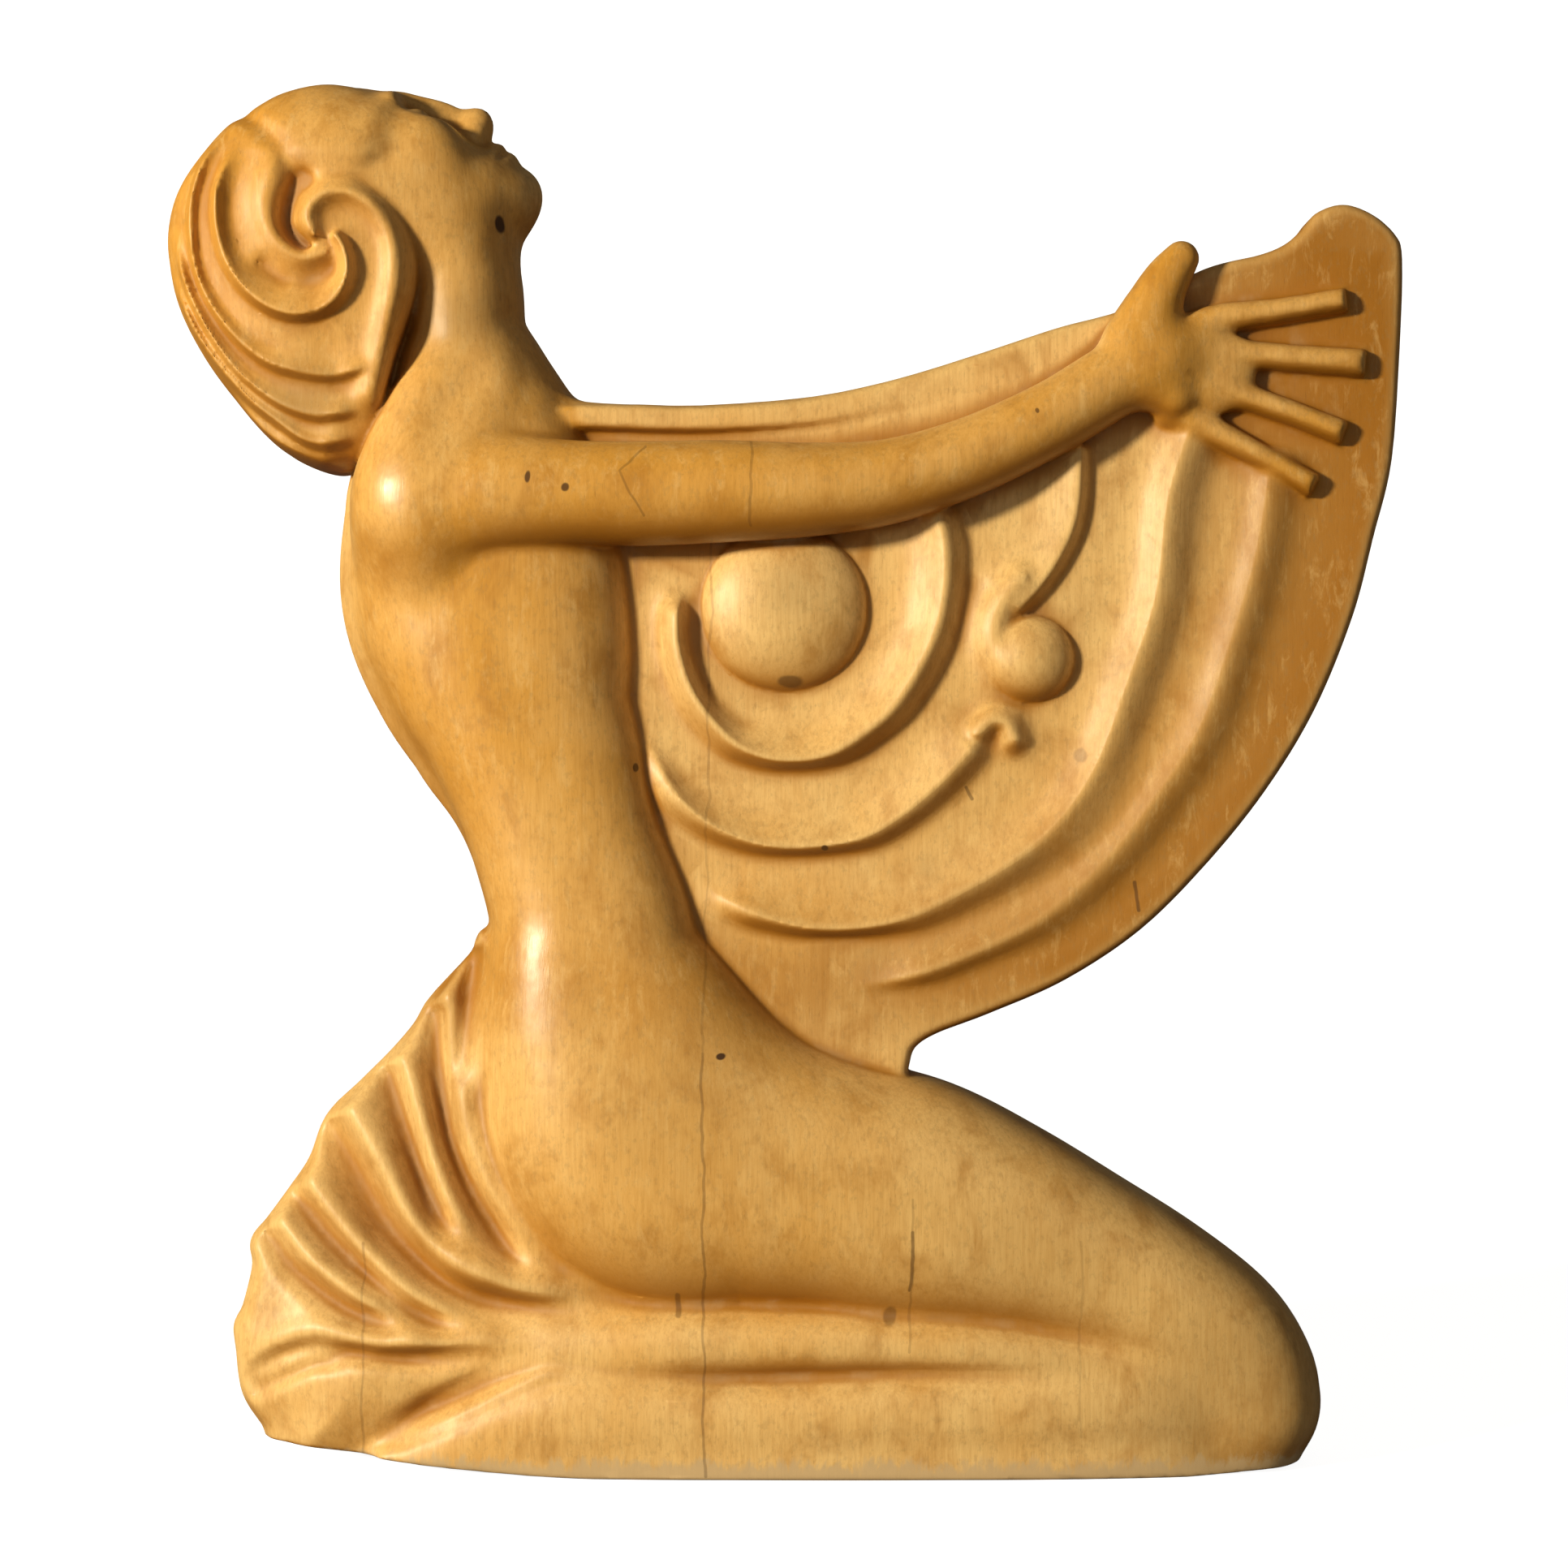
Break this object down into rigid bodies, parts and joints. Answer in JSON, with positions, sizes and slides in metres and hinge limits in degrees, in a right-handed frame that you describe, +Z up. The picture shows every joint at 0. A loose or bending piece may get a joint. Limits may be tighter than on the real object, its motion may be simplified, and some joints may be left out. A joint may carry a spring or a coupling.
{
  "type": "carved wooden kneeling female figure",
  "caption": "Carved wooden statue of a kneeling woman holding out a shawl carved with curved bands; stands on its long flat underside.",
  "frame": {"origin": "under the middle of the figure's box, on the surface that it stands on", "axes": "+X towards the fingertips, +Y through the thickness away from the carved front, +Z up"},
  "size_m": [0.5889, 0.1166, 0.6597],
  "materials": {
    "carved_wood": "satin"
  },
  "bodies": {
    "root": {"kneeling_figure": "carved_wood"}
  },
  "joints": []
}
